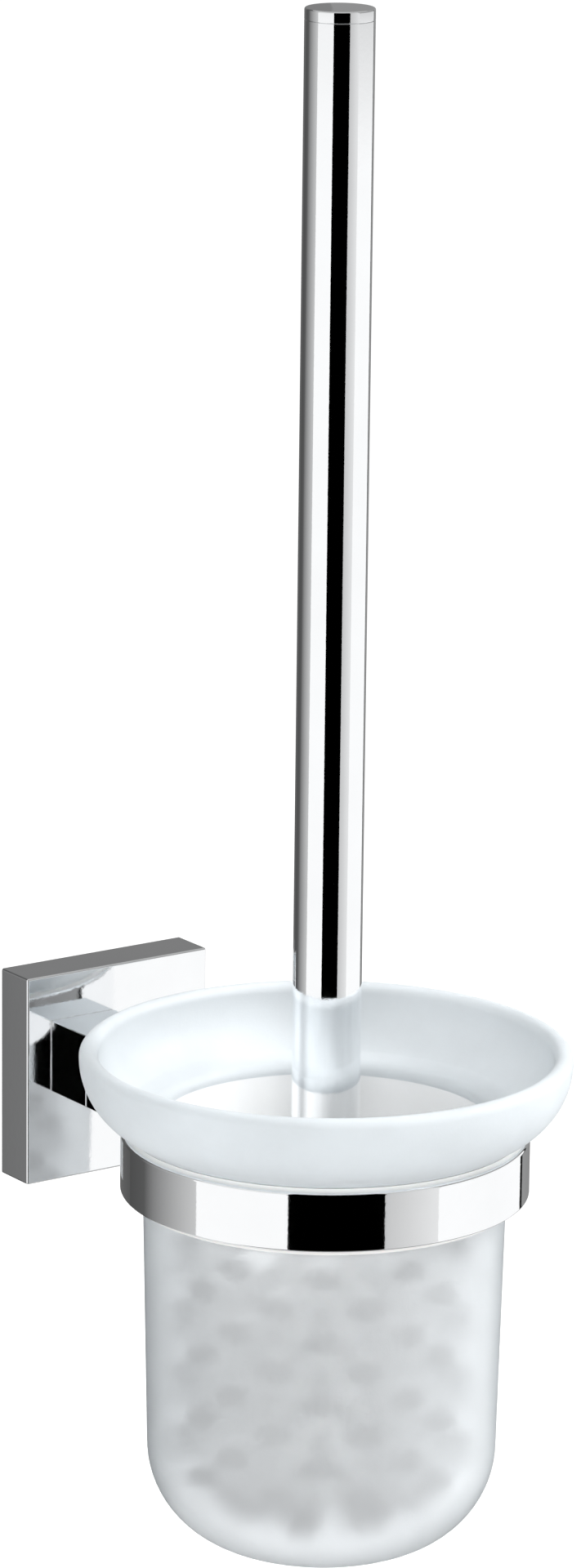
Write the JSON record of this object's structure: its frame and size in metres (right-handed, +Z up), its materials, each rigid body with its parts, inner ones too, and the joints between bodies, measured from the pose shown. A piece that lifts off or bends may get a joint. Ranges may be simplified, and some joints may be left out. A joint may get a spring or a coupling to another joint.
{
  "type": "toilet brush holder",
  "caption": "Wall-mounted toilet brush holder: square chrome rosette and arm, round ring, frosted glass cup and a brush with a long tube handle.",
  "frame": {"origin": "centre of the wall plate's two screw holes, on the wall surface", "axes": "-Y out of the wall towards the cup, +Z up along the brush handle, +X to the right seen from the room"},
  "size_m": [0.115, 0.157, 0.3628],
  "materials": {
    "chrome": "polished",
    "wall_plate": "satin",
    "screw_steel": "satin",
    "liner_plastic": "matte",
    "frosted_glass": "frosted",
    "brass": "machined",
    "core_plastic": "moulded",
    "bristles": "nylon filament"
  },
  "bodies": {
    "holder": {"wall_plate": "wall_plate", "rosette": "chrome", "grub_screw": "screw_steel", "arm_screw": "screw_steel", "spring_washer": "screw_steel", "locating_pins": "screw_steel", "post": "chrome", "arm_block": "chrome", "ring_screw": "screw_steel", "ring_band": "chrome", "ring_liner": "liner_plastic"},
    "glass": {"glass_cup": "frosted_glass"},
    "brush_head": {"stud": "screw_steel", "brush_core": "core_plastic", "bristle_row_1": "bristles", "bristle_row_2": "bristles", "bristle_row_3": "bristles", "bristle_row_4": "bristles", "bristle_row_5": "bristles", "bristle_row_6": "bristles", "bristle_row_7": "bristles", "bristle_row_8": "bristles", "bristle_crown": "bristles"},
    "handle": {"handle_tube": "chrome", "handle_cap": "chrome", "handle_bush": "brass"}
  },
  "joints": [
    {"name": "glass_lift", "type": "slide", "parent": "holder", "child": "glass", "axis": [0, 0, 1], "range_m": [0, 0.105]},
    {"name": "brush_lift", "type": "slide", "parent": "glass", "child": "brush_head", "axis": [0, 0, 1], "range_m": [0, 0.12]},
    {"name": "handle_unscrew", "type": "hinge", "parent": "brush_head", "child": "handle", "pos_m": [0, -0.09955, 0], "axis": [0, 0, 1], "continuous": true}
  ]
}
